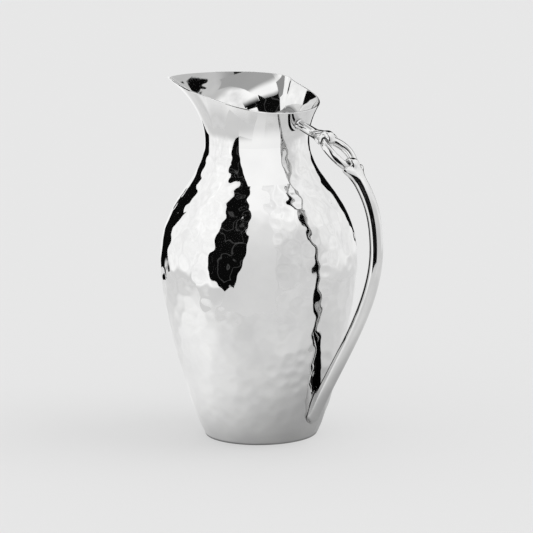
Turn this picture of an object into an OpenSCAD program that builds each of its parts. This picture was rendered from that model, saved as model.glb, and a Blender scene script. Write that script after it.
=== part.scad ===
// Water pitcher of hammered sheet metal with a link handle.
// Millimetres, +Z up. The origin is the centre of the foot, on the table.
// The handle is on the +X side and the spout on the -X side. The object is symmetric in Y.

/* [Vessel] */
// Radius of the foot
foot_r = 42.3; // [40:0.1:45]
// Slope of the wall just above the foot, in degrees from the table
foot_slope = 57; // [54:1:60]
// Radius of the belly
belly_r = 75; // [72:0.5:78]
// Height of the belly's widest point
belly_z = 133; // [128:1:138]
// Radius of the neck at its narrowest
neck_r = 39.4; // [38:0.1:41]
// Height of the narrowest point of the neck
neck_z = 226.4; // [224:0.2:229]
// Thickness of the sheet
wall = 1.2; // [0.8:0.1:2]

/* [Lip and spout] */
// Distance from the vessel's axis to the lip above the handle
lip_back = 46.4; // [44:0.1:49]
// Height of the lip above the handle
lip_back_z = 252.1; // [250:0.1:254]
// Half the width across the lip
lip_side = 49.8; // [48:0.1:52]
// Height of the lip at its side
lip_side_z = 265.1; // [263:0.1:267]
// Distance from the vessel's axis to the tip of the spout
spout_tip = 89.7; // [84:0.1:94]
// Height of the tip of the spout
spout_tip_z = 264.6; // [262:0.1:267]
// Half the width of the spout just behind its tip
spout_round = 6.6; // [5:0.1:8]
// How late the wall turns outwards above the neck
flare = 2; // [1.8:0.05:2.3]

/* [Handle] */
// Radius of the lower arm
arm_r = 5.15; // [4.6:0.05:5.6]
// Radius of the upper arm where it meets the neck
root_r = 3.75; // [3.4:0.05:4.2]
// Half the width of the shoulders that hold the link
shoulder_w = 11.2; // [10.5:0.1:12]
// Half the thickness of the shoulders
shoulder_t = 3.9; // [3.4:0.1:4.4]
// How far the lower arm bows out from the vessel's axis
bow_x = 116.7; // [114:0.1:119]
// Height of the point where the lower arm bows out furthest
bow_z = 157.8; // [150:0.2:165]
// Half the width of the tongue that hooks over the link
tongue_w = 3.6; // [3:0.1:4.2]
// How far the tongue stands proud of the link's wire
tongue_t = 3.2; // [2.6:0.1:3.8]
// Depth of the groove in the tongue that the link's wire lies in
groove = 0.8; // [0.4:0.1:1.2]
// How far the upper shoulder reaches along the sides of the link
horn = 2; // [0:0.5:4]
// Length over which the shoulders narrow to the arms
shoulder_run = 12; // [9:0.5:15]

/* [Link] */
// Half the length of the link along its centreline
link_length = 14.75; // [14:0.05:15.5]
// Half the width of the link along its centreline
link_width = 8.9; // [8.5:0.05:9.3]
// Radius of the link's wire
wire_r = 3.25; // [3:0.05:3.4]
// How far the sides of the link bow outwards
link_bow = 1.6; // [0:0.1:2.4]
// Slope of the link below the horizontal, in degrees
link_slope = 37; // [34:1:40]

/* [Base and welds] */
// Thickness of the base disc
base_t = 1.5; // [1.2:0.1:2]
// Size of the weld fillet inside the foot
seam = 2; // [1:0.1:3]
// Width of the weld fillets at the ends of the handle
fillet = 1.6; // [1:0.1:2.2]

/* [Hidden] */

round_fn = 96;       // facets of a full turn
slice_fn = 24;       // facets of one slice of an arm
curve_steps = 16;    // straight steps in each curve of the vessel's outline
collar_columns = 72; // columns around the spout collar, a multiple of 4
collar_rows = 10;    // rows up the spout collar
link_steps = 48;     // rings around the link
wire_fn = 16;        // facets around the link's wire

// The outline of the vessel, as [radius, height]: foot to belly, then belly to neck.
lower_curve = [[foot_r, 0], [foot_r, 0] + 18.7 * [cos(foot_slope), sin(foot_slope)],
               [belly_r, belly_z - 33.2], [belly_r, belly_z]];
upper_curve = [[belly_r, belly_z], [belly_r, belly_z + 51.5],
               [neck_r, neck_z - 31.4], [neck_r, neck_z]];
// Half of the lip, as [x, y, z]: from above the handle to the side, then to the tip of the spout.
back_curve = [[lip_back, 0, lip_back_z], [lip_back, 48.5, lip_back_z],
              [-2.2, lip_side - 3.9, lip_side_z - 2.1], [-8.3, lip_side, lip_side_z]];
front_curve = [[-8.3, lip_side, lip_side_z], [-25.2, lip_side + 10.7, lip_side_z + 5.8],
               [1.8 - spout_tip, spout_round, spout_tip_z + 4.1], [-spout_tip, 0, spout_tip_z]];
foot_side = wall / sin(foot_slope);  // level thickness of the wall at the foot
seam_top = base_t + seam;

// The handle lies in the plane y = 0, so its points are [x, z].
link_centre = [81.3, 225.1];
link_along = [cos(link_slope), -sin(link_slope)];
link_out = [sin(link_slope), cos(link_slope)];
upper_bar = link_centre - link_length * link_along;
lower_bar = link_centre + link_length * link_along;
upper_path = [[42.4, 243], [52, 239.6], [61, 235.4], upper_bar - 2 * link_along];
bow_out = [[93, 217], [104.6, 201.2], [bow_x, bow_z + 33], [bow_x, bow_z]];
bow_in = [[bow_x, bow_z], [bow_x, bow_z - 45], [74.8, 64.4], [52.6, 20.5]];
arm_end = [50.4, 16];

// Curves

function bezier(p, t) = pow(1 - t, 3) * p[0] + 3 * pow(1 - t, 2) * t * p[1]
    + 3 * (1 - t) * t * t * p[2] + pow(t, 3) * p[3];
function bezier_slope(p, t) = 3 * (pow(1 - t, 2) * (p[1] - p[0])
    + 2 * (1 - t) * t * (p[2] - p[1]) + t * t * (p[3] - p[2]));
function unit(v) = v / norm(v);
function left_of(v) = [-v[1], v[0]];
function heading(v) = atan2(v[1], v[0]);
function backwards(list) = [for (i = [len(list) - 1:-1:0]) list[i]];

// A curve moved sideways by the given distance, to its left.
function beside(p, t, shift) = bezier(p, t) + shift * left_of(unit(bezier_slope(p, t)));

// The vessel's outline, moved inwards by the given distance.
function vessel_line(shift) = concat(
    [for (i = [1:curve_steps]) beside(lower_curve, i / curve_steps, shift)],
    [for (i = [1:curve_steps]) beside(upper_curve, i / curve_steps, shift)]);

// A point of the inner wall just above the foot.
function foot_inside(z) = [foot_r - foot_side + z / tan(foot_slope), z];

// A column of the collar, as [angle from the handle, radius of the lip, height of the lip].
function lip_column(i) = let (
    half = collar_columns / 2, k = i > half ? collar_columns - i : i,
    p = k < half / 2 ? bezier(back_curve, 2 * k / half) : bezier(front_curve, 2 * k / half - 1),
    side = i > half ? -1 : 1)
    [side * atan2(p[1], p[0]), norm([p[0], p[1]]), p[2]];
columns = [for (i = [0:collar_columns - 1]) lip_column(i)];

// A point of the collar's wall, at share s of the way from the neck to the lip.
function wall_point(column, s, shift) = let (
    rise = column[2] - neck_z, reach = column[1] - neck_r,
    slope = [reach * flare * pow(s, flare - 1), rise],
    p = [neck_r + reach * pow(s, flare), neck_z + rise * s] + shift * left_of(unit(slope)))
    [p[0] * cos(column[0]), p[0] * sin(column[0]), p[1]];

// Solids from rings of points

// Joins each ring to the next one, and the last ring to the first.
module closed_loft(rings) {
    n = len(rings[0]);
    m = len(rings);
    polyhedron(
        points = [for (ring = rings) for (p = ring) p],
        faces = [for (i = [0:m - 1]) for (j = [0:n - 1])
            let (a = i * n + j, b = i * n + (j + 1) % n,
                 c = (i + 1) % m * n + (j + 1) % n, d = (i + 1) % m * n + j)
            for (face = [[a, b, c], [a, c, d]]) face]);
}

// An oval ring of points at [x, z] = at, square to the heading, in degrees above +X.
// It is turned by half a facet, so that no corner lies in the plane y = 0.
function slice_points(slice) = let (at = slice[0], angle = slice[1], half_w = slice[2], half_t = slice[3])
    [for (j = [0:slice_fn - 1])
        let (v = (j + 0.5) * 360 / slice_fn, p = at + half_t * cos(v) * [-sin(angle), cos(angle)])
        [p[0], half_w * sin(v), p[1]]];

// A smooth bar through slices, each given as [at, angle, half_w, half_t].
module bar_through(slices) {
    for (i = [1:len(slices) - 1]) hull() {
        points = concat(slice_points(slices[i - 1]), slice_points(slices[i]));
        polyhedron(points = points, faces = [[for (k = [0:len(points) - 1]) k]]);
    }
}

// Solid forms used to cut others

module vessel_core() {
    rotate_extrude($fn = round_fn)
    polygon(concat([[0, 0], [foot_r, 0]], vessel_line(0), [[0, neck_z]]));
}

module collar_core() {
    n = collar_columns;
    top = collar_rows * n;
    polyhedron(
        points = [for (k = [0:collar_rows]) for (column = columns) wall_point(column, k / collar_rows, 0)],
        faces = concat(
            [[for (i = [0:n - 1]) i]],
            [for (i = [1:n - 2]) [top, top + i + 1, top + i]],
            [for (k = [0:collar_rows - 1]) for (i = [0:n - 1])
                let (a = k * n + i, b = k * n + (i + 1) % n)
                for (face = [[a, b + n, b], [a, a + n, b + n]]) face]));
}

module link_solid() {
    closed_loft([for (i = [0:link_steps - 1])
        let (u = i * 360 / link_steps,
             along = link_length * cos(u), across = link_width * sin(u),
             rise = link_bow * (pow(sin(u), 2) - 0.5),
             centre = link_centre + along * link_along + rise * link_out,
             side = unit([link_width * cos(u), link_length * sin(u)]))
        [for (j = [0:wire_fn - 1])
            let (v = j * 360 / wire_fn,
                 flat = wire_r * cos(v) * side,
                 p = centre + flat[0] * link_along + wire_r * sin(v) * link_out)
            [p[0], across + flat[1], p[1]]]]);
}

// The arms before the link and the vessel are cut out of them

// How much of the shoulder is left at a point, by its distance from the shoulder's widest point.
function shoulder_left(p, widest) = pow(max(0, 1 - norm(p - widest) / shoulder_run), 2);

// The upper arm widens evenly, then flares into its shoulder.
upper_wide = 0.8;    // how much wider the upper arm gets before its shoulder
function upper_slice(t) = let (p = bezier(upper_path, t), share = shoulder_left(p, upper_path[3]))
    [p, heading(bezier_slope(upper_path, t)),
     root_r + upper_wide * t + (shoulder_w - root_r - upper_wide) * share,
     root_r + (shoulder_t - root_r) * t];
upper_slices = concat([for (t = [0:0.1:1]) upper_slice(t)],
    [[upper_bar + horn * link_along, -link_slope, shoulder_w, shoulder_t - 0.5]]);

// The lower arm starts clear of the link, as wide as its shoulder.
bow_start = 0.065;   // share of the outward bow before the shoulder starts
function bow_slice(t) = let (p = bezier(bow_out, t), share = shoulder_left(p, bezier(bow_out, bow_start)))
    [p, heading(bezier_slope(bow_out, t)),
     arm_r + (shoulder_w - arm_r) * share, arm_r + (shoulder_t - arm_r) * share];
function seat_slice(t, widen) = [
    bezier(bow_in, t), heading(bezier_slope(bow_in, t)), arm_r + widen, arm_r + widen];
// The rounded tip where the lower arm ends on the vessel.
function tip_slice(t, widen) = [
    (1 - t) * bow_in[3] + t * arm_end, heading(arm_end - bow_in[3]),
    (arm_r + widen) * sqrt(1 - t * t), (arm_r + widen) * sqrt(1 - t * t)];
lower_slices = concat(
    [for (t = [0:0.045:0.18]) bow_slice(bow_start + t)],
    [for (t = [0.3:0.1:1]) bow_slice(t)],
    [for (t = [0.1:0.1:1]) seat_slice(t, 0)],
    [for (t = [0.4, 0.7, 0.9, 0.99]) tip_slice(t, 0)]);

// The tongue hooks over one bar of the link. It starts in the shoulder and ends in the link's hole.
tongue_root = 7;     // how far behind the bar the tongue starts
module tongue(bar, towards_hole) {
    reach = wire_r + (tongue_t - groove) / 2;
    half_t = (tongue_t + groove) / 2;
    inwards = towards_hole * link_along;
    bar_through(concat(
        [[bar - tongue_root * inwards, heading(inwards), tongue_w, half_t]],
        [for (a = [150:-15:-30])
            let (out = cos(a - 90) * link_out + cos(a) * inwards,
                 on = sin(a - 90) * link_out + sin(a) * inwards)
            [bar + reach * out, heading(on), tongue_w, half_t]]));
}

module shoulder_and_tongue(slices, bar, towards_hole) {
    difference() {
        bar_through(slices);
        hull() link_solid();
    }
    tongue(bar, towards_hole);
}

// Sub-parts

// The hammered wall, from the foot to the neck.
module body_shell() {
    color("silver")
    rotate_extrude($fn = round_fn)
    polygon(concat(
        [[foot_r, 0]], vessel_line(0), backwards(vessel_line(wall)),
        [foot_inside(seam_top), foot_inside(base_t), foot_inside(0)]));
}

// The smooth flare with the lip and the spout, butt-welded to the neck.
module spout_collar() {
    color("gainsboro")
    closed_loft([for (column = columns) concat(
        [for (k = [0:collar_rows]) wall_point(column, k / collar_rows, 0)],
        [for (k = [collar_rows:-1:0]) wall_point(column, k / collar_rows, wall)])]);
}

// The flat bottom, inside the foot of the shell.
module base_disc() {
    color("darkgray")
    cylinder(h = base_t, r1 = foot_inside(0)[0], r2 = foot_inside(base_t)[0], $fn = round_fn);
}

// The weld fillet between the bottom and the wall.
module base_seam() {
    color("lightgray")
    rotate_extrude($fn = round_fn)
    polygon([foot_inside(base_t) - [seam, 0], foot_inside(base_t), foot_inside(seam_top)]);
}

// The short arm from the neck to the link.
module upper_arm() {
    color("silver")
    difference() {
        shoulder_and_tongue(upper_slices, upper_bar, 1);
        link_solid();
        collar_core();
    }
}

// The oval link between the arms.
module link_ring() {
    color("gainsboro")
    link_solid();
}

// The long arm from the link down to the foot.
module lower_arm() {
    color("silver")
    difference() {
        shoulder_and_tongue(lower_slices, lower_bar, -1);
        link_solid();
        vessel_core();
    }
}

// The weld fillet around the upper arm, against the neck.
module upper_weld() {
    color("lightgray")
    difference() {
        bar_through([for (i = [0:8])
            let (t = i / 8, spread = fillet * pow(1 - t, 2))
            [upper_path[0] + t * 5 * [cos(-19), sin(-19)], -19, root_r + spread, root_r + spread]]);
        bar_through(upper_slices);
        collar_core();
    }
}

// The weld fillet around the tip of the lower arm, against the wall.
module lower_weld() {
    color("lightgray")
    difference() {
        translate([-fillet, 0, 0]) bar_through(concat(
            [for (t = [0.8:0.05:1]) seat_slice(t, fillet * (t - 0.8) / 0.2)],
            [for (t = [0.3, 0.6, 0.8, 0.95]) tip_slice(t, fillet)]));
        bar_through(lower_slices);
        vessel_core();
    }
}

body_shell();
spout_collar();
base_disc();
base_seam();
upper_arm();
link_ring();
lower_arm();
upper_weld();
lower_weld();
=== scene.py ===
"""Hammered metal water pitcher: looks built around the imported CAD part.

Lengths in the shape data are millimetres in the row frame and become metres when a mesh is made.
The handle is on the +X side, the spout on the -X side, and the foot stands on z = 0.
"""
import math

import bpy
import numpy as np
from mathutils import Matrix, Vector


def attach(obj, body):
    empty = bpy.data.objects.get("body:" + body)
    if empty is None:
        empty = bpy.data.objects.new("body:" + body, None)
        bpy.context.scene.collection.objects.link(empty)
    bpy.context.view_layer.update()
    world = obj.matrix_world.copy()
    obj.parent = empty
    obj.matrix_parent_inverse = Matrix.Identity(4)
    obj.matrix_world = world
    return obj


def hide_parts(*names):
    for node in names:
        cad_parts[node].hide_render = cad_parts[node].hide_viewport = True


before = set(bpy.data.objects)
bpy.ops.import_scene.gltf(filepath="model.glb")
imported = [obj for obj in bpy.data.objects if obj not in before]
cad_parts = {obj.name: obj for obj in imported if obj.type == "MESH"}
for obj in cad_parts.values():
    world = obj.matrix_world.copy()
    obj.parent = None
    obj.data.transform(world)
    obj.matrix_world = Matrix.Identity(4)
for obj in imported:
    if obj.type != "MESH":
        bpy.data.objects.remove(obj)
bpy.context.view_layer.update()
rng = np.random.default_rng(7)

# ---------------------------------------------------------------- shape data, as in the CAD

# radii, half-widths (W) and half-thicknesses (T)
FOOT_R, BELLY_R, NECK_R = 42.3, 75.0, 39.4
BELLY_Z, NECK_Z = 133.0, 226.4
WALL = 1.2
ARM_R, ROOT_R = 5.15, 3.75
SHOULDER_W, SHOULDER_T = 11.2, 3.9
TONGUE_W, TONGUE_T = 3.6, 1.6
LINK_LENGTH, LINK_WIDTH, WIRE_R, LINK_BOW = 14.75, 8.9, 3.25, 1.6
LINK_CENTRE = np.array([81.3, 225.1])
LINK_SLOPE = math.radians(37)

# Bezier curves of the wall, as radius and height
LOWER_CURVE = [(FOOT_R, 0), (52.5, 15.7), (BELLY_R, 99.8), (BELLY_R, BELLY_Z)]
UPPER_CURVE = [(BELLY_R, BELLY_Z), (BELLY_R, 184.5), (NECK_R, 195), (NECK_R, NECK_Z)]
# Bezier curves of the lower arm, as x and z
BOW_OUT = [(93, 217), (104.6, 201.2), (116.7, 190.8), (116.7, 157.8)]
BOW_IN = [(116.7, 157.8), (116.7, 112.8), (74.8, 64.4), (52.6, 20.5)]
# the upper arm's two middle control points, as x and z
UPPER_ARM = [(52, 239.6), (61, 235.4)]
# Bezier curves of half the lip, from the handle to the spout's tip
BACK_LIP = [(46.4, 0, 252.1), (46.4, 48.5, 252.1), (-2.2, 45.9, 263.0), (-8.3, 49.8, 265.1)]
FRONT_LIP = [(-8.3, 49.8, 265.1), (-25.2, 60.5, 270.9), (-87.9, 6.6, 268.7), (-89.7, 0, 264.6)]

# hammer marks: distance between rows and along a row, how far a mark strays from its row and, as a share
# of the distance, along it, then its radius, and its depth where the radius is MARK_R
ROW_PITCH, MARK_PITCH = 8.6, 8.8
ROW_STRAY, MARK_STRAY = 1.9, 0.22
MARK_SIZE, MARK_DEPTH, MARK_R = (5.2, 8.6), (0.12, 0.46), 7
WAVE_COUNT, WAVE_LENGTH, WAVE_DEPTH = 26, (30, 80), (0.015, 0.05)
# lengths over which the marks fade at the neck and the foot, what is left of them at the foot, and how
# much of their depth shows inside
NECK_FADE, FOOT_FADE, FOOT_MARKS = 9, 5, 0.15
BACK_MARKS = 0.7

# gaps round the link and the rounding of edges where the handle's parts meet
LINK_ROOM, HOOK_ROOM, WALL_ROOM = 0.25, 0.12, 0.05
SADDLE_EDGE, HOOK_EDGE, HOOK_FILLET = 0.8, 0.4, 1.6

along = np.array([math.cos(LINK_SLOPE), -math.sin(LINK_SLOPE)])
outward = np.array([math.sin(LINK_SLOPE), math.cos(LINK_SLOPE)])
upper_bar = LINK_CENTRE - LINK_LENGTH * along
lower_bar = LINK_CENTRE + LINK_LENGTH * along


def bezier(points, t):
    """Points on a cubic Bezier curve, at t from 0 to 1."""
    p = np.array(points, float)
    t = np.atleast_1d(np.asarray(t, float))[:, None]
    return (1 - t)**3 * p[0] + 3 * (1 - t)**2 * t * p[1] + 3 * (1 - t) * t**2 * p[2] + t**3 * p[3]


# ---------------------------------------------------------------- mesh helpers

def mesh_object(name, verts, quads, normals=None):
    """A smooth mesh from vertices in millimetres. Normals, where given, replace the computed ones."""
    mesh = bpy.data.meshes.new(name)
    mesh.vertices.add(len(verts))
    mesh.vertices.foreach_set("co", (np.asarray(verts) / 1000).astype(np.float32).ravel())
    mesh.loops.add(quads.size)
    mesh.loops.foreach_set("vertex_index", quads.astype(np.int32).ravel())
    mesh.polygons.add(len(quads))
    mesh.polygons.foreach_set("loop_start", np.arange(0, quads.size, quads.shape[1], dtype=np.int32))
    mesh.update(calc_edges=True)
    mesh.polygons.foreach_set("use_smooth", np.ones(len(quads), bool))
    if normals is not None:
        mesh.normals_split_custom_set_from_vertices(np.asarray(normals, float).tolist())
    ob = bpy.data.objects.new(name, mesh)
    bpy.context.scene.collection.objects.link(ob)
    return ob


def ring_quads(rows, cols, close_rows=False):
    """Quads of a grid of rows x cols that wraps round its columns."""
    r = np.arange(rows if close_rows else rows - 1)[:, None]
    c = np.arange(cols)[None, :]
    r2, c2 = (r + 1) % rows, (c + 1) % cols
    return np.stack([r * cols + c, r * cols + c2, r2 * cols + c2, r2 * cols + c], -1).reshape(-1, 4)


def grid_normals(p):
    """Unit normals of a rows x cols x 3 grid that wraps round its columns."""
    across = np.roll(p, -1, 1) - np.roll(p, 1, 1)
    up = np.gradient(p, axis=0)
    n = np.cross(across, up)
    return n / np.maximum(np.linalg.norm(n, axis=-1, keepdims=True), 1e-12)


# ---------------------------------------------------------------- the vessel

def outline(steps):
    """Equal steps up the outer wall: distance from the foot, [radius, height] and unit normal of each."""
    t = np.linspace(0, 1, 1500)
    fine = np.vstack([bezier(LOWER_CURVE, t), bezier(UPPER_CURVE, t)[1:]])
    length = np.r_[0, np.cumsum(np.linalg.norm(np.diff(fine, axis=0), axis=1))]
    s = np.linspace(0, length[-1], steps)
    p = np.stack([np.interp(s, length, fine[:, 0]), np.interp(s, length, fine[:, 1])], 1)
    d = np.gradient(p, axis=0)
    d[-1] = (0, 1)
    d /= np.linalg.norm(d, axis=1)[:, None]
    return s, p, np.stack([d[:, 1], -d[:, 0]], 1)


def hammer_marks(s, radius, cols):
    """Depth of the hammering over the wall: rows of shallow overlapping dimples, in millimetres."""
    theta = np.arange(cols) * 2 * math.pi / cols
    depth = np.zeros((len(s), cols))
    step_s = s[1] - s[0]
    for k in range(int(s[-1] / ROW_PITCH) + 2):
        row_s = (k - 0.3) * ROW_PITCH
        r_here = float(np.interp(row_s, s, radius))
        count = int(2 * math.pi * r_here / MARK_PITCH)
        turn = rng.uniform(0, 2 * math.pi)
        for j in range(count):
            centre_s = row_s + rng.normal(0, ROW_STRAY)
            centre_t = turn + (j + rng.normal(0, MARK_STRAY)) * 2 * math.pi / count
            size = rng.uniform(*MARK_SIZE)
            deep = rng.uniform(*MARK_DEPTH) * (size / MARK_R)
            i0 = max(0, int((centre_s - size) / step_s))
            i1 = min(len(s), int((centre_s + size) / step_s) + 2)
            if i1 <= i0:
                continue
            half = int(size / r_here * cols / (2 * math.pi)) + 2
            c0 = int(centre_t * cols / (2 * math.pi))
            cc = np.arange(c0 - half, c0 + half + 1)
            dw = (cc * 2 * math.pi / cols - centre_t)[None, :] * radius[i0:i1, None]
            ds = (s[i0:i1] - centre_s)[:, None]
            q = np.clip(1 - (ds * ds + dw * dw) / size**2, 0, None)
            np.add.at(depth, (np.arange(i0, i1)[:, None], (cc % cols)[None, :]), deep * q * q)
    # broad unevenness left by the raising of the sheet
    for _ in range(WAVE_COUNT):
        m = rng.integers(1, 7)
        wave = rng.uniform(*WAVE_LENGTH)
        depth += rng.uniform(*WAVE_DEPTH) * np.sin(m * theta + rng.uniform(0, 6.3))[None, :] \
            * np.sin(s * 2 * math.pi / wave + rng.uniform(0, 6.3))[:, None]
    return depth


def lip_line(angles):
    """Radius and height of the lip at angles from the handle, in radians."""
    t = np.linspace(0, 1, 1200)
    half = np.vstack([bezier(BACK_LIP, t), bezier(FRONT_LIP, t)[1:]])
    a = np.arctan2(half[:, 1], half[:, 0])
    a[-1] = math.pi
    r = np.hypot(half[:, 0], half[:, 1])
    fold = np.abs((angles + math.pi) % (2 * math.pi) - math.pi)
    return np.interp(fold, a, r), np.interp(fold, a, half[:, 2])


def flare_rows(angles, shares, shift):
    """Rows of the flared collar's wall, moved inwards by shift: an array of rows x angles x 3."""
    lip_r, lip_z = lip_line(angles)
    rise, reach = lip_z - NECK_Z, lip_r - NECK_R
    s = np.asarray(shares)[:, None]
    r, z = NECK_R + reach * s**2, NECK_Z + rise * s
    dr, dz = 2 * reach * s, rise + 0 * s
    n = np.hypot(dr, dz)
    r, z = r - shift * dz / n, z + shift * dr / n
    return np.stack([r * np.cos(angles), r * np.sin(angles), z], -1)


def build_wall():
    """The hammered sheet from foot to neck: inner wall, rounded foot edge and outer wall in one skin."""
    cols, rows, inner_rows = 360, 196, 62
    theta = np.arange(cols) * 2 * math.pi / cols
    s, p, n = outline(rows)
    marks = hammer_marks(s, p[:, 0], cols)
    # no marks where the neck meets the collar, and faint ones at the foot
    fade = np.clip((s[-1] - s) / NECK_FADE, 0, 1) * np.clip(s / FOOT_FADE, FOOT_MARKS, 1)
    fade = fade * fade * (3 - 2 * fade)
    marks *= fade[:, None]

    def turned(rz):
        return np.stack([rz[..., 0] * np.cos(theta), rz[..., 0] * np.sin(theta), rz[..., 1]], -1)

    outer = turned(p[:, None, :] - marks[..., None] * n[:, None, :])
    # the inner wall has the back of the same marks, softened by the sheet
    pick = np.linspace(0, rows - 1, inner_rows).round().astype(int)
    back = BACK_MARKS * marks[pick]
    inner = turned((p - WALL * n)[pick][:, None, :] - back[..., None] * n[pick][:, None, :])
    # one row of the collar beyond the neck, so that the normals run on into it
    ghost_out = flare_rows(theta, [0.0, 0.05], 0.0)[1:]
    ghost_in = flare_rows(theta, [0.0, 0.10], WALL)[1:]
    out_n = grid_normals(np.concatenate([outer, ghost_out]))[:-1]
    in_n = -grid_normals(np.concatenate([inner, ghost_in]))[:-1]
    # a small round edge where the wall meets the bottom
    edge_r = 0.5
    centre_r = FOOT_R - edge_r * (1 + n[0, 1]) / n[0, 0]
    v = np.linspace(-math.pi / 2, math.atan2(n[0, 1], n[0, 0]), 5)
    round_n = np.stack([np.cos(v), np.sin(v)], -1)[:, None, :] + 0 * theta[None, :, None]
    rounded = turned(np.array([centre_r, edge_r]) + edge_r * round_n)
    outer[0] = rounded[-1]
    loop = np.concatenate([inner[::-1], rounded[:-1], outer])
    normals = np.concatenate([in_n[::-1], turned(round_n)[:-1], out_n])
    return mesh_object("hammered_wall", loop.reshape(-1, 3), ring_quads(len(loop), cols, True),
                       normals.reshape(-1, 3))


def build_collar():
    """The smooth flared collar with the spout, up one side, over the lip and down the other."""
    cols, rows, edge_steps = 720, 34, 7
    theta = np.arange(cols) * 2 * math.pi / cols
    shares = np.linspace(0, 1, rows)
    outer, inner = flare_rows(theta, shares, 0.0), flare_rows(theta, shares, WALL)
    out_n, in_n = grid_normals(outer), -grid_normals(inner)
    radial = np.stack([np.cos(theta), np.sin(theta), 0 * theta], -1)
    out_n[0], in_n[0] = radial, -radial
    # the half-round edge of the lip
    middle = (outer[-1] + inner[-1]) / 2
    side = (outer[-1] - inner[-1]) / 2
    up = flare_rows(theta, [0.99, 1.0], WALL / 2)
    up = up[1] - up[0]
    up /= np.linalg.norm(up, axis=1)[:, None]
    v = np.linspace(0, math.pi, edge_steps + 2)[1:-1][:, None, None]
    edge_n = np.cos(v) * side / (WALL / 2) + np.sin(v) * up
    edge = middle + WALL / 2 * edge_n
    loop = np.concatenate([outer, edge, inner[::-1]])
    normals = np.concatenate([out_n, edge_n, in_n[::-1]])
    return mesh_object("flared_collar", loop.reshape(-1, 3), ring_quads(len(loop), cols, True),
                       normals.reshape(-1, 3))


# ---------------------------------------------------------------- solids as distance fields

class Field:
    """A block of space with the signed distance to a solid at each grid point, in millimetres."""

    def __init__(self, low, high, step):
        self.low, self.step = np.array(low, float), step
        n = np.ceil((np.array(high) - self.low) / step).astype(int) + 1
        self.axes = [self.low[i] + step * np.arange(n[i]) for i in range(3)]
        self.x = self.axes[0][:, None, None]
        self.y = self.axes[1][None, :, None]
        self.z = self.axes[2][None, None, :]

    def sweep(self, path, half_w, half_t, power=2.0, reach=6.0):
        """A bar along a path in the plane y = 0, oval or rounder than square in section."""
        out = np.full([len(a) for a in self.axes], reach, np.float32)
        for i in range(len(path) - 1):
            a, b = path[i], path[i + 1]
            size = max(half_w[i], half_w[i + 1], half_t[i], half_t[i + 1]) + reach * 0.6
            lo = np.array([min(a[0], b[0]) - size, -size, min(a[1], b[1]) - size])
            hi = np.array([max(a[0], b[0]) + size, size, max(a[1], b[1]) + size])
            i0 = np.maximum(((lo - self.low) / self.step).astype(int), 0)
            i1 = np.minimum(((hi - self.low) / self.step).astype(int) + 2, out.shape)
            if (i1 <= i0).any():
                continue
            x, y, z = self.x[i0[0]:i1[0]], self.y[:, i0[1]:i1[1]], self.z[:, :, i0[2]:i1[2]]
            d = b - a
            length = np.linalg.norm(d)
            d = d / length
            u = (x - a[0]) * d[0] + (z - a[1]) * d[1]
            t = np.clip(u / length, 0, 1)
            past = u - t * length
            q = -(x - a[0]) * d[1] + (z - a[1]) * d[0]
            w = half_w[i] + (half_w[i + 1] - half_w[i]) * t
            h = half_t[i] + (half_t[i + 1] - half_t[i]) * t
            k0 = (np.abs(y / w)**power + np.abs(q / h)**power + np.abs(past / h)**power)**(1 / power)
            k1 = np.sqrt((y / w**2)**2 + (q / h**2)**2 + (past / h**2)**2) + 1e-6
            near = np.where(k0 > 0.2, k0 * (k0 - 1) / k1, -np.minimum(w, h))
            part = out[i0[0]:i1[0], i0[1]:i1[1], i0[2]:i1[2]]
            np.minimum(part, near.astype(np.float32), out=part)
        return out

    def link(self, filled, grow):
        """The link's wire, or the whole disc inside its outline, grown by a gap."""
        dx, dz = self.x - LINK_CENTRE[0], self.z - LINK_CENTRE[1]
        a = dx * along[0] + dz * along[1]
        o = dx * outward[0] + dz * outward[1]
        k0 = np.sqrt((a / LINK_LENGTH)**2 + (self.y / LINK_WIDTH)**2)
        k1 = np.sqrt((a / LINK_LENGTH**2)**2 + (self.y / LINK_WIDTH**2)**2) + 1e-6
        flat = k0 * (k0 - 1) / k1
        bow = LINK_BOW * ((self.y / LINK_WIDTH)**2 - 0.5)
        if filled:
            flat = np.maximum(flat, 0)
        return np.sqrt(flat**2 + (o - bow)**2) - WIRE_R - grow

    def vessel(self):
        """Distance outside the hammered wall."""
        _, p, _ = outline(400)
        r = np.hypot(self.x, self.y)
        wall_r = np.interp(self.axes[2], p[:, 1], p[:, 0])
        slope = np.gradient(wall_r, self.axes[2])
        return (r - wall_r) / np.sqrt(1 + slope**2)

    def collar(self):
        """Distance outside the flared collar."""
        lip_r, lip_z = lip_line(np.arctan2(self.y, self.x).ravel())
        shape = np.broadcast(self.x, self.y).shape
        lip_r, lip_z = lip_r.reshape(shape), lip_z.reshape(shape)
        s = np.clip((self.z - NECK_Z) / (lip_z - NECK_Z), 0, 1.2)
        wall_r = NECK_R + (lip_r - NECK_R) * s**2
        slope = 2 * (lip_r - NECK_R) * s / (lip_z - NECK_Z)
        return (np.hypot(self.x, self.y) - wall_r) / np.sqrt(1 + slope**2)

    def surface(self, name, f, soften=2):
        """Meshes the zero level of a field, with normals from the field's own slope."""
        f = f.astype(np.float32)
        for _ in range(soften):
            for ax in range(3):
                f = 0.25 * np.roll(f, 1, ax) + 0.5 * f + 0.25 * np.roll(f, -1, ax)
        inside = f < 0
        cells, index = crossed_cells(inside)
        place = crossing_middle(f, cells)
        value, slope = sample(f, place)
        size = np.linalg.norm(slope, axis=1, keepdims=True)
        place = place - np.clip(value[:, None] / size, -0.4, 0.4) * slope / size
        return mesh_object(name, self.low + place * self.step, cell_faces(inside, index), slope / size)


CORNERS = [(i, j, k) for i in (0, 1) for j in (0, 1) for k in (0, 1)]


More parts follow.
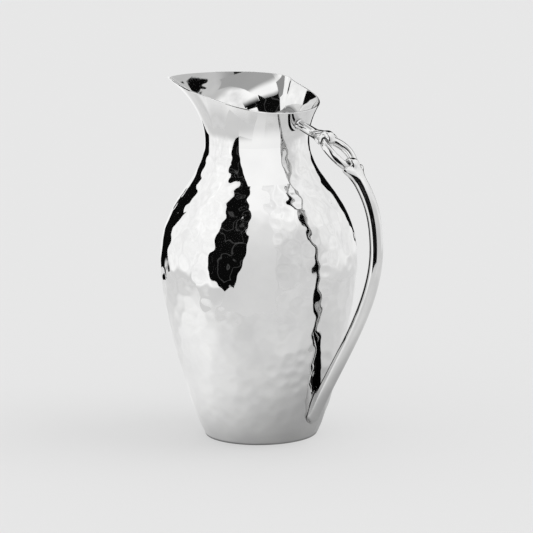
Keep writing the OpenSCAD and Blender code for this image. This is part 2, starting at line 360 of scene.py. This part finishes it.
def crossed_cells(inside):
    """Cells with corners on both sides of the surface, and a grid with each one's number."""
    n = inside.shape
    count = sum(inside[i:n[0] - 1 + i, j:n[1] - 1 + j, k:n[2] - 1 + k].astype(np.int8) for i, j, k in CORNERS)
    cells = np.argwhere((count > 0) & (count < 8))
    index = np.full(count.shape, -1, np.int64)
    index[tuple(cells.T)] = np.arange(len(cells))
    return cells, index


def crossing_middle(f, cells):
    """The mean of the points where a cell's edges cross the surface, for each cell."""
    total, hits = np.zeros((len(cells), 3)), np.zeros((len(cells), 1))
    for ax in range(3):
        others = [o for o in range(3) if o != ax]
        for i in (0, 1):
            for j in (0, 1):
                start = np.zeros(3, int)
                start[others] = i, j
                end = start.copy()
                end[ax] = 1
                fa, fb = f[tuple((cells + start).T)], f[tuple((cells + end).T)]
                cross = (fa < 0) != (fb < 0)
                t = np.where(cross, fa / np.where(cross, fa - fb, 1), 0)
                total += np.where(cross[:, None], start + t[:, None] * (end - start), 0)
                hits += cross[:, None]
    return cells + total / hits


def cell_faces(inside, index):
    """A face across each grid edge that crosses the surface, looking outwards."""
    n = inside.shape
    quads = []
    for ax in range(3):
        o1, o2 = (ax + 1) % 3, (ax + 2) % 3
        a = np.take(inside, range(n[ax] - 1), ax)
        b = np.take(inside, range(1, n[ax]), ax)
        edges = np.argwhere(a != b)
        edges = edges[(edges[:, o1] > 0) & (edges[:, o2] > 0)
                      & (edges[:, o1] < n[o1] - 1) & (edges[:, o2] < n[o2] - 1)]
        leaves = a[tuple(edges.T)]
        e1, e2 = np.zeros(3, int), np.zeros(3, int)
        e1[o1], e2[o2] = 1, 1
        q = np.stack([index[tuple(e.T)] for e in (edges - e1 - e2, edges - e2, edges, edges - e1)], 1)
        q[~leaves] = q[~leaves][:, ::-1]
        quads.append(q)
    return np.vstack(quads)


def sample(f, place):
    """The value and slope of a field at places between its grid points."""
    gradient = np.stack(np.gradient(f), -1)
    base = np.clip(place.astype(int), 0, np.array(f.shape) - 2)
    part = place - base
    value, slope = np.zeros(len(place)), np.zeros((len(place), 3))
    for i, j, k in CORNERS:
        w = np.abs(1 - i - part[:, 0]) * np.abs(1 - j - part[:, 1]) * np.abs(1 - k - part[:, 2])
        at = tuple((base + [i, j, k]).T)
        slope += w[:, None] * gradient[at]
        value += w * f[at]
    return value, slope


def smooth_union(a, b, k):
    """Two fields joined, with a fillet where they are closer than k to each other."""
    h = np.clip(k - np.abs(a - b), 0, None) / k
    return np.minimum(a, b) - h * h * k / 4


def smooth_cut(a, b, k):
    """Field a without field b, the edge between them rounded."""
    return -smooth_union(-a, b, k)


def tongue_path(bar, side):
    """The hook over one bar of the link: path, half-widths and half-thicknesses."""
    reach = WIRE_R + TONGUE_T + 0.1
    a = np.radians(np.linspace(150, -42, 40))[:, None]
    hook = bar + reach * (np.sin(a) * outward + np.cos(a) * side * along)
    path = np.vstack([bar - 8 * side * along - 0.6 * outward, hook])
    t = np.linspace(0, 1, len(path))
    return path, TONGUE_W * (1 - 0.42 * t**3), TONGUE_T * (1.12 - 0.35 * t**2)


def finish_arm(g, name, arm, vessel, fillet, bar, side):
    """Joins an arm to the vessel by a fillet, cuts the link's room and adds the hook over its bar."""
    arm = smooth_union(arm, vessel, fillet)
    arm = smooth_cut(arm, g.link(True, LINK_ROOM), SADDLE_EDGE)
    hook = g.sweep(*tongue_path(bar, side), power=3.0)
    solid = smooth_union(arm, hook, HOOK_FILLET)
    solid = smooth_cut(solid, g.link(False, HOOK_ROOM), HOOK_EDGE)
    return g.surface(name, np.maximum(solid, WALL_ROOM - vessel))


def build_upper_arm():
    """The short arm from the collar, spreading over its last 13 mm into the link's shoulder."""
    g = Field((36, -14.5, 222), (82, 14.5, 252), 0.4)
    path = bezier([(40.5, 243.6), *UPPER_ARM, upper_bar - 2 * along], np.linspace(0, 1, 44))
    path = np.vstack([path, [upper_bar + k * along for k in (-1.0, 0.0, 1.0)]])
    run = np.linalg.norm(path - path[-4], axis=1)
    share = np.clip(1 - run / 13, 0, 1)**2
    share[-3:] = 1
    t = np.linspace(0, 1, len(path))
    half_w = ROOT_R + 0.8 * t + (SHOULDER_W - ROOT_R - 0.8) * share
    half_t = ROOT_R + (SHOULDER_T - 0.3 - ROOT_R) * t
    return finish_arm(g, "upper_arm_cast", g.sweep(path, half_w, half_t), g.collar(), 2.6, upper_bar, 1)


def build_lower_arm():
    """The long arm, from the link's other shoulder, 12.5 mm long, round the bow to the foot."""
    g = Field((44, -14.5, 10), (126, 14.5, 232), 0.5)
    path = np.vstack([bezier(BOW_OUT, np.linspace(0.055, 1, 90)),
                      bezier(BOW_IN, np.linspace(0, 1, 110))[1:], [(51.4, 17.9)]])
    run = np.linalg.norm(path - path[0], axis=1)
    share = np.clip(1 - run / 12.5, 0, 1)**2
    share[60:] = 0
    half_w = ARM_R + (SHOULDER_W - ARM_R) * share
    half_t = ARM_R + (SHOULDER_T - ARM_R) * share
    half_w[-1], half_t[-1] = 3.6, 3.6
    return finish_arm(g, "lower_arm_cast", g.sweep(path, half_w, half_t), g.vessel(), 2.4, lower_bar, -1)


def build_link():
    """The oval link: round wire along an oval that bows outwards at its sides."""
    rings, facets = 192, 48
    u = np.arange(rings)[:, None] * 2 * math.pi / rings
    v = np.arange(facets)[None, :] * 2 * math.pi / facets
    side = np.stack([LINK_WIDTH * np.cos(u), LINK_LENGTH * np.sin(u)], -1)
    side /= np.linalg.norm(side, axis=-1, keepdims=True)
    a = LINK_LENGTH * np.cos(u) + WIRE_R * np.cos(v) * side[..., 0]
    y = LINK_WIDTH * np.sin(u) + WIRE_R * np.cos(v) * side[..., 1]
    o = LINK_BOW * (np.sin(u)**2 - 0.5) + WIRE_R * np.sin(v)
    p = np.stack([LINK_CENTRE[0] + a * along[0] + o * outward[0], y,
                  LINK_CENTRE[1] + a * along[1] + o * outward[1]], -1)
    quads = ring_quads(rings, facets, True)
    return mesh_object("link_wire", p.reshape(-1, 3), quads[:, ::-1])


# ---------------------------------------------------------------- materials

class Nodes:
    """Short calls to build a node tree."""

    def __init__(self, owner):
        owner.use_nodes = True
        self.owner, self.tree = owner, owner.node_tree

    def add(self, kind, inputs=(), **props):
        node = self.tree.nodes.new(kind)
        for k, val in props.items():
            setattr(node, k, val)
        for name, val in dict(inputs).items():
            self.put(node.inputs[name], val)
        return node

    def put(self, socket, val):
        if isinstance(val, bpy.types.NodeSocket):
            self.tree.links.new(val, socket)
        else:
            socket.default_value = val

    def noise(self, scale, detail=3.0, rough=0.5, vector=None, distort=0.0):
        """Cloudy noise, most of it between 0.3 and 0.7."""
        where = vector or self.add("ShaderNodeTexCoord").outputs["Object"]
        return self.add("ShaderNodeTexNoise", {"Vector": where, "Scale": scale, "Detail": detail,
                                               "Roughness": rough, "Distortion": distort}).outputs["Fac"]

    def remap(self, val, low, high, a=0.3, b=0.7):
        """low where val is a, high where it is b."""
        return self.add("ShaderNodeMapRange", {"Value": val, "From Min": a, "From Max": b,
                                               "To Min": low, "To Max": high}).outputs["Result"]

    def blend(self, fac, a, b):
        """Colour a where fac is 0, b where it is 1."""
        node = self.add("ShaderNodeMix", data_type="RGBA")
        self.put(node.inputs[0], fac)
        self.put(node.inputs[6], a)
        self.put(node.inputs[7], b)
        return node.outputs[2]

    def along(self, place, direction):
        """How far a place lies along a direction."""
        node = self.add("ShaderNodeVectorMath", {0: place, 1: direction}, operation="DOT_PRODUCT")
        return node.outputs["Value"]

    def calc(self, operation, *values):
        return self.add("ShaderNodeMath", dict(enumerate(values)), operation=operation).outputs[0]

    def smooth(self, val, a, b):
        """0 where val is a, 1 where it is b, with a smooth step between."""
        return self.add("ShaderNodeMapRange", {"Value": val, "From Min": a, "From Max": b},
                        interpolation_type="SMOOTHSTEP").outputs["Result"]

    def mix(self, fac, a, b):
        """Number a where fac is 0, b where it is 1."""
        node = self.add("ShaderNodeMix")
        self.put(node.inputs[0], fac)
        self.put(node.inputs[2], a)
        self.put(node.inputs[3], b)
        return node.outputs[0]

    def bump(self, height, strength, distance, normal=None):
        inputs = {"Height": height, "Strength": strength, "Distance": distance}
        if normal is not None:
            inputs["Normal"] = normal
        return self.add("ShaderNodeBump", inputs).outputs["Normal"]


def new_material(name):
    m = Nodes(bpy.data.materials.new(name))
    m.shader = m.tree.nodes["Principled BSDF"]
    return m


def metal(name, light, dark, rough, ripple, scratch):
    """Polished metal: faint tone changes, smudges in the gloss, fine polishing ripple and hairlines."""
    m = new_material(name)
    s = m.shader
    s.inputs["Metallic"].default_value = 1.0
    tone = m.noise(38)
    m.put(s.inputs["Base Color"], m.blend(m.remap(tone, 0, 1), (*dark, 1), (*light, 1)))
    smudge = m.noise(55, 5, 0.6, distort=0.6)
    m.put(s.inputs["Roughness"], m.remap(smudge, rough[0], rough[1], 0.35, 0.75))
    waves = m.bump(m.noise(230, 2, 0.4), ripple, 0.0004)
    hairlines = m.noise(900, 2, 0.6, distort=1.5)
    m.put(s.inputs["Normal"], m.bump(hairlines, scratch, 0.00005, waves))
    return m.owner


hammered = metal("hammered_mirror", (0.76, 0.76, 0.755), (0.70, 0.70, 0.70), (0.02, 0.07), 0.03, 0.03)
polished = metal("collar_mirror", (0.73, 0.73, 0.725), (0.67, 0.67, 0.67), (0.015, 0.06), 0.008, 0.03)
cast = metal("cast_mirror", (0.73, 0.73, 0.725), (0.66, 0.66, 0.66), (0.03, 0.09), 0.007, 0.03)


def satin():
    """Fine circular satin on the bottom."""
    m = new_material("turned_satin")
    s = m.shader
    s.inputs["Metallic"].default_value = 1.0
    place = m.add("ShaderNodeTexCoord").outputs["Object"]
    flat = m.add("ShaderNodeVectorMath", {0: place, 1: (1, 1, 0)}, operation="MULTIPLY").outputs[0]
    radius = m.add("ShaderNodeVectorMath", {0: flat}, operation="LENGTH").outputs["Value"]
    line = m.add("ShaderNodeCombineXYZ", {"X": radius}).outputs[0]
    rings = m.noise(2600, 4, 0.7, vector=line)
    tone = m.blend(m.remap(rings, 0, 1), (0.56, 0.56, 0.56, 1), (0.68, 0.68, 0.675, 1))
    m.put(s.inputs["Base Color"], tone)
    m.put(s.inputs["Roughness"], m.remap(rings, 0.26, 0.42))
    m.put(s.inputs["Normal"], m.bump(rings, 0.25, 0.0001))
    return m.owner


def weld():
    """A weld fillet, ground and buffed."""
    m = new_material("buffed_weld")
    s = m.shader
    s.inputs["Metallic"].default_value = 1.0
    lumps = m.noise(420)
    tone = m.blend(m.remap(lumps, 0, 1), (0.6, 0.59, 0.58, 1), (0.72, 0.72, 0.71, 1))
    m.put(s.inputs["Base Color"], tone)
    m.put(s.inputs["Roughness"], m.remap(lumps, 0.16, 0.34))
    m.put(s.inputs["Normal"], m.bump(lumps, 0.3, 0.0004))
    return m.owner


def dress(ob, material):
    ob.data.materials.clear()
    ob.data.materials.append(material)


# ---------------------------------------------------------------- the pieces

pieces = [(build_wall, hammered, ["body_shell"], "hammered_metal"),
          (build_collar, polished, ["spout_collar"], "polished_metal"),
          (build_upper_arm, cast, ["upper_arm", "upper_weld"], "cast_metal"),
          (build_link, cast, ["link_ring"], "cast_metal"),
          (build_lower_arm, cast, ["lower_arm", "lower_weld"], "cast_metal")]
for build, material, nodes, slot in pieces:
    ob = build()
    dress(ob, material)
    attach(ob, "root")
    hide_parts(*nodes)
dress(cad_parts["base_disc"], satin())
dress(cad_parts["base_seam"], weld())

# ---------------------------------------------------------------- studio
# The pitcher is a mirror, so its looks come from what stands round it. Of all this the camera sees only the
# floor and the light tent: the cards, and the table that the metal shows, are seen in reflections only.
# Directions are azimuths in degrees from +X, and -48 is towards the camera.

TABLE_R, TABLE_NEAR_R, TABLE_Z = 565, 300, 0.3
FLOOR_R = 40000
FRONT = (-120, -25)          # where the table is cut short before the dark opening
DISC_SIDES = 96
CARD_ROWS, CARD_COLUMNS = 60, 24
CEILING_Z = 900


def flat_direction(degrees):
    """The level direction at an azimuth."""
    return (math.cos(math.radians(degrees)), math.sin(math.radians(degrees)), 0)


def plain(name, grey, glow=0.0):
    """A dull grey that can also shine."""
    m = new_material(name)
    m.put(m.shader.inputs["Base Color"], (grey, grey, grey, 1))
    m.put(m.shader.inputs["Roughness"], 0.9)
    m.put(m.shader.inputs["Specular IOR Level"], 0.0)
    m.put(m.shader.inputs["Emission Color"], (1, 1, 1, 1))
    m.put(m.shader.inputs["Emission Strength"], glow)
    return m


def table_painted_light():
    """The table as the metal sees it, lit by painted glow: brighter to the left in a painted pool of light,
    softly cloudy, darker to the right and round the foot with painted shade.
    """
    m = plain("table_painted_glow", 0.3)
    place = m.add("ShaderNodeTexCoord").outputs["Object"]

    def painted_pool(degrees, distance, outer, inner):
        centre = [distance * v for v in flat_direction(degrees)]
        away = m.add("ShaderNodeVectorMath", {0: place, 1: centre}, operation="DISTANCE").outputs["Value"]
        return m.smooth(away, outer, inner)

    clouds = m.remap(m.noise(8, 2, 0.5, vector=place), 0.43, 0.52, 0.35, 0.65)
    bright_clouds = m.remap(m.noise(9, 2, 0.5, vector=place), 0.70, 0.86)
    # a painted pool of light to the left, brighter and more cloudy than the rest of the glow
    tone = m.mix(painted_pool(-132, 0.20, 0.22, 0.06), clouds, bright_clouds)
    # painted shade to the right, deepest close to the foot
    tone = m.mix(painted_pool(35, 0.20, 0.20, 0.05), tone, 0.42)
    tone = m.mix(painted_pool(35, 0.05, 0.15, 0.03), tone, 0.12)
    # painted contact shade: no glow under the foot, rising just beyond its edge
    foot = m.add("ShaderNodeVectorMath", {0: place}, operation="LENGTH").outputs["Value"]
    m.put(m.shader.inputs["Emission Strength"], m.mix(m.smooth(foot, 0.0426, 0.0445), 0.0, tone))
    return m


def sweep_tone():
    """The low far edge of the table, fading upwards into the light tent."""
    m = plain("pale_sweep", 0.0, 0.84)
    place = m.add("ShaderNodeTexCoord").outputs["Object"]
    m.put(m.shader.inputs["Alpha"], m.smooth(m.along(place, (0, 0, 1)), 0.085, 0.02))
    return m


def only_in_reflections(ob):
    """Hides an object from everything but reflections."""
    ob.visible_camera = ob.visible_diffuse = ob.visible_shadow = False
    ob.visible_transmission = ob.visible_volume_scatter = False
    return ob


def sheet(name, points, height, material):
    """A flat sheet at a height, from the x and y of its outline."""
    mesh = bpy.data.meshes.new(name)
    verts = [(x / 1000, y / 1000, height / 1000) for x, y in points]
    mesh.from_pydata(verts, [], [list(range(len(verts)))])
    ob = bpy.data.objects.new(name, mesh)
    bpy.context.scene.collection.objects.link(ob)
    dress(ob, material)
    return ob


def disc(name, radius, material, height=0.0):
    """A flat disc; radius is one number, or one for each of DISC_SIDES directions from +X."""
    a = np.arange(DISC_SIDES) * 2 * math.pi / DISC_SIDES
    return sheet(name, np.stack([radius * np.cos(a), radius * np.sin(a)], 1).tolist(), height, material)


def card(name, radius, edges, material):
    """A curved card round the pitcher. edges: rows of (height mm, azimuth from, azimuth to)."""
    edges = np.array(edges, float)
    h = np.linspace(edges[0, 0], edges[-1, 0], CARD_ROWS)
    left, right = np.interp(h, edges[:, 0], edges[:, 1]), np.interp(h, edges[:, 0], edges[:, 2])
    t = np.linspace(0, 1, CARD_COLUMNS)[None, :]
    a = np.radians(left[:, None] * (1 - t) + right[:, None] * t)
    p = np.stack([radius * np.cos(a), radius * np.sin(a), h[:, None] + 0 * a], -1)
    rows, cols = a.shape
    r, c = np.arange(rows - 1)[:, None], np.arange(cols - 1)[None, :]
    q = np.stack([r * cols + c, r * cols + c + 1, (r + 1) * cols + c + 1, (r + 1) * cols + c], -1)
    ob = mesh_object(name, p.reshape(-1, 3), q.reshape(-1, 4))
    dress(ob, material)
    return only_in_reflections(ob)


floor = disc("floor", FLOOR_R, plain("pale_floor", 0.275, 0.45).owner)
floor.visible_glossy = False
azimuths = np.arange(DISC_SIDES) * 360 / DISC_SIDES
azimuths -= 360 * (azimuths > 180)
table_r = np.where((azimuths > FRONT[0]) & (azimuths < FRONT[1]), TABLE_NEAR_R, TABLE_R)
only_in_reflections(disc("table_seen_in_metal", table_r, table_painted_light().owner, TABLE_Z))
sweep = sweep_tone().owner
card("sweep_right", TABLE_R, [(0, -25, 151), (90, -25, 151)], sweep)
card("sweep_left", TABLE_R, [(0, 183, 240), (90, 183, 240)], sweep)

black = plain("black_card", 0.004).owner


def opening_tone():
    """The dark room behind the opening, with a few dim shapes in it."""
    m = plain("dark_room", 0.004)
    off = m.calc("ABSOLUTE", m.calc("SUBTRACT", m.noise(1.7, 1, 0.4, distort=0.3), 0.5))
    line = m.smooth(off, 0.035, 0.0)
    m.put(m.shader.inputs["Emission Strength"], m.mix(line, 0.0, 0.07))
    return m.owner


# the dark opening in front, which the belly and the neck show as a long dark shape
card("opening_card", 1200,
     [(-293, -87, -33), (-180, -98, -33), (-69, -101, -33), (40, -104, -33), (143, -106, -33),
      (1080, -106, -33), (1090, -106, -62), (1333, -102, -63), (2184, -99, -66), (3350, -97, -68),
      (5500, -95, -70)],
     opening_tone())
# the dark lines along the two sides
card("left_flag", 2500, [(-466, 153, 181), (0, 152, 182), (4000, 152, 182)], black)
card("right_flag", 560,
     [(15, 124, 132), (40, 117, 132), (65, 110, 132), (85, 105, 132), (110, 101, 132), (160, 95, 132),
      (1000, 92, 132)],
     black)


def card_tone(name, steps, clear=None):
    """A shining card. steps: (height m, brightness) upwards. clear: heights between which it fades out."""
    m = plain(name, 0.0)
    up = m.along(m.add("ShaderNodeTexCoord").outputs["Object"], (0, 0, 1))
    tone = steps[0][1]
    for (z0, _), (z1, bright) in zip(steps, steps[1:]):
        tone = m.mix(m.smooth(up, z0, z1), tone, bright)
    m.put(m.shader.inputs["Emission Strength"], tone)
    if clear:
        m.put(m.shader.inputs["Alpha"], m.smooth(up, clear[1], clear[0]))
    return m.owner


card("opening_top", 1190, [(1070, -62, -33), (1600, -62, -33)],
     card_tone("fading_dark", [(0.8, 0.0)], (1.10, 1.55)))
# a white strip close to the belly and one at the neck give the dark opening its straight right edge
card("fill_card", 95,
     [(95, -80, -36), (105, -76, -36), (118, -71, -36), (122, -66.8, -36), (130, -62.5, -36),
      (143, -58.9, -36), (166, -56.3, -36), (187, -56.3, -36), (207, -57, -36), (250, -58, -36),
      (280, -59, -36), (320, -57, -36)],
     card_tone("white_fill", [(0.13, 0.86), (0.19, 0.97), (0.24, 1.25)]))
card("neck_fill", 50,
     [(203, -57, -16), (207, -59, -16), (211, -62, -16), (215, -65, -16), (219, -69, -16),
      (222, -72.5, -16), (236, -72.5, -16)],
     card_tone("neck_white", [(0.203, 1.24)], (0.227, 0.236)))
# cards above the mouth that only the inside of the lip sees
card("mouth_fill", 80,
     [(345, -116, -80), (365, -121, -74), (400, -121, -63), (700, -121, -60), (1100, -121, -25)],
     card_tone("high_fill", [(0.345, 0.4), (0.37, 1.3), (0.40, 1.3), (0.45, 0.48)]))
card("mouth_grey", 75, [(322, -140, -120), (345, -152, -120), (400, -165, -120)],
     card_tone("grey_card", [(0.3, 0.37)]))
card("mouth_flag", 150, [(262, 162, 190), (318, 169, 190)], black)
# the ragged dark patch inside the spout, and the streak beside it
patch = [(-186, 60), (-186, 47), (-175, 43), (-160, 36), (-150, 31), (-138, 26), (-130, 20), (-118, 13),
         (-110, 8), (-100, 5), (-88, 8), (-86, 14), (-92, 22), (-98, 30), (-88, 31), (-70, 27), (-50, 23),
         (-50, 30), (-66, 36), (-84, 41), (-74, 46), (-56, 44), (-50, 50), (-60, 60)]
streak = [(-206, 16), (-192, 22), (-186, 32), (-200, 38)]
only_in_reflections(sheet("ceiling_card", patch, CEILING_Z, black))
only_in_reflections(sheet("ceiling_streak", streak, CEILING_Z, black))


def shade(name, path, lift, low_y, high_y, wide_z=None):
    """A dark strip beside an arm of the handle, at a distance from its middle.

    low_y and high_y are the strip's two edges, each as y above wide_z and y below it.
    """
    d = np.gradient(path, axis=0)
    d /= np.linalg.norm(d, axis=1)[:, None]
    x, z = (path + lift * np.stack([d[:, 1], -d[:, 0]], 1)).T
    wide = 0 * z if wide_z is None else np.clip((wide_z - z) / 10, 0, 1)
    verts = [np.stack([x, a + (b - a) * wide, z], 1) for a, b in (low_y, high_y)]
    n = len(x)
    k = np.arange(n - 1)[:, None]
    ob = mesh_object(name, np.vstack(verts), np.hstack([k, k + 1, k + 1 + n, k + n]))
    dress(ob, black)
    return only_in_reflections(ob)


lower_path = np.vstack([bezier(BOW_OUT, np.linspace(0.15, 1, 40))[:-1],
                        bezier(BOW_IN, np.linspace(0, 0.93, 90))])
shade("lower_shade_left", lower_path, ARM_R + 1.0, (-6.6, -3.9), (-3.3, -1.7), 84)
shade("lower_shade_right", lower_path, ARM_R + 1.0, (-0.1, -0.8), (0.1, 3.4), 84)
upper_path = bezier([(44, 242.2), *UPPER_ARM, upper_bar - 5 * along], np.linspace(0, 1, 20))
shade("upper_shade", upper_path, ROOT_R + 2.0, (-4.4, -4.4), (-0.5, -0.5))
link_path = np.array([LINK_CENTRE + k * along for k in np.linspace(-9, 9, 20)])
shade("link_shade", link_path, WIRE_R + 1.4, (-15, -15), (-11, -11))


def sky_direction(azimuth, elevation):
    """The direction at an azimuth and a height above the horizon, in degrees."""
    e = math.radians(elevation)
    return [math.cos(e) * v for v in flat_direction(azimuth)[:2]] + [math.sin(e)]


def light_tent(world):
    """White cloth all round: brightest to the left, dimmer low down in front on the right, uneven."""
    w = Nodes(world)
    ray = w.add("ShaderNodeTexCoord").outputs["Generated"]
    height = w.along(ray, (0, 0, 1))
    left_part = w.smooth(w.along(ray, flat_direction(-135)), 0.3, 0.9)
    front_part = w.smooth(w.along(ray, flat_direction(-25)), 0.2, 0.8)
    low = w.mix(front_part, w.mix(left_part, 1.08, 1.27), 0.85)
    tent = w.mix(w.smooth(height, 0.25, 0.8), low, w.mix(left_part, 1.22, 1.30))
    folds, wrinkles = w.noise(3.2, 2, 0.5, vector=ray), w.noise(9, 2, 0.5, vector=ray)
    tent = w.calc("MULTIPLY", tent, w.remap(folds, 0.90, 1.08, 0.2, 0.8))
    tent = w.calc("MULTIPLY", tent, w.remap(wrinkles, 0.88, 1.08, 0.2, 0.8))

    def spot(azimuth, elevation, outer, inner):
        """1 within inner degrees of a direction, 0 beyond outer."""
        return w.smooth(w.along(ray, sky_direction(azimuth, elevation)),
                        math.cos(math.radians(outer)), math.cos(math.radians(inner)))

    tent = w.mix(spot(0, 90, 22, 12), tent, w.remap(folds, 0.62, 0.80))
    tent = w.mix(spot(-65, 51, 18, 7), tent, 1.33)
    tent = w.mix(spot(-85, 69, 18, 8), tent, w.remap(folds, 0.42, 0.50))
    background = w.tree.nodes["Background"]
    w.put(background.inputs["Strength"], w.mix(w.smooth(height, -0.37, -0.25), 0.84, tent))
    w.put(background.inputs["Color"], (1, 1, 1, 1))


bpy.context.scene.world = bpy.data.worlds.new("studio")
light_tent(bpy.context.scene.world)

# a weak soft light from behind on the right, for the shadow only
sun = bpy.data.lights.new("soft_key", "SUN")
sun.energy, sun.angle = 0.8, math.radians(40)
key = bpy.data.objects.new("soft_key", sun)
key.rotation_euler = Vector((0.55, 0.45, 0.9)).to_track_quat("Z", "Y").to_euler()
key.visible_glossy = False
bpy.context.scene.collection.objects.link(key)

# ---------------------------------------------------------------- camera

AZIMUTH, ELEVATION, DISTANCE = math.radians(-48), math.radians(11.5), 2.952
ROLL = math.radians(0.854)
target = Vector((0, 0, 0.1378))
back = Vector((math.cos(ELEVATION) * math.cos(AZIMUTH), math.cos(ELEVATION) * math.sin(AZIMUTH),
               math.sin(ELEVATION)))
lens = bpy.data.cameras.new("camera")
lens.lens, lens.sensor_width = 263.144, 36
lens.shift_x, lens.shift_y = 0.01458, -0.02118
lens.clip_end = 100
camera = bpy.data.objects.new("camera", lens)
camera.location = target + DISTANCE * back
camera.rotation_mode = "QUATERNION"
camera.rotation_quaternion = ((-back).to_track_quat("-Z", "Y").to_matrix()
                              @ Matrix.Rotation(-ROLL, 3, "Z")).to_quaternion()
bpy.context.scene.collection.objects.link(camera)
bpy.context.scene.camera = camera
bpy.context.scene.view_settings.view_transform = "Standard"
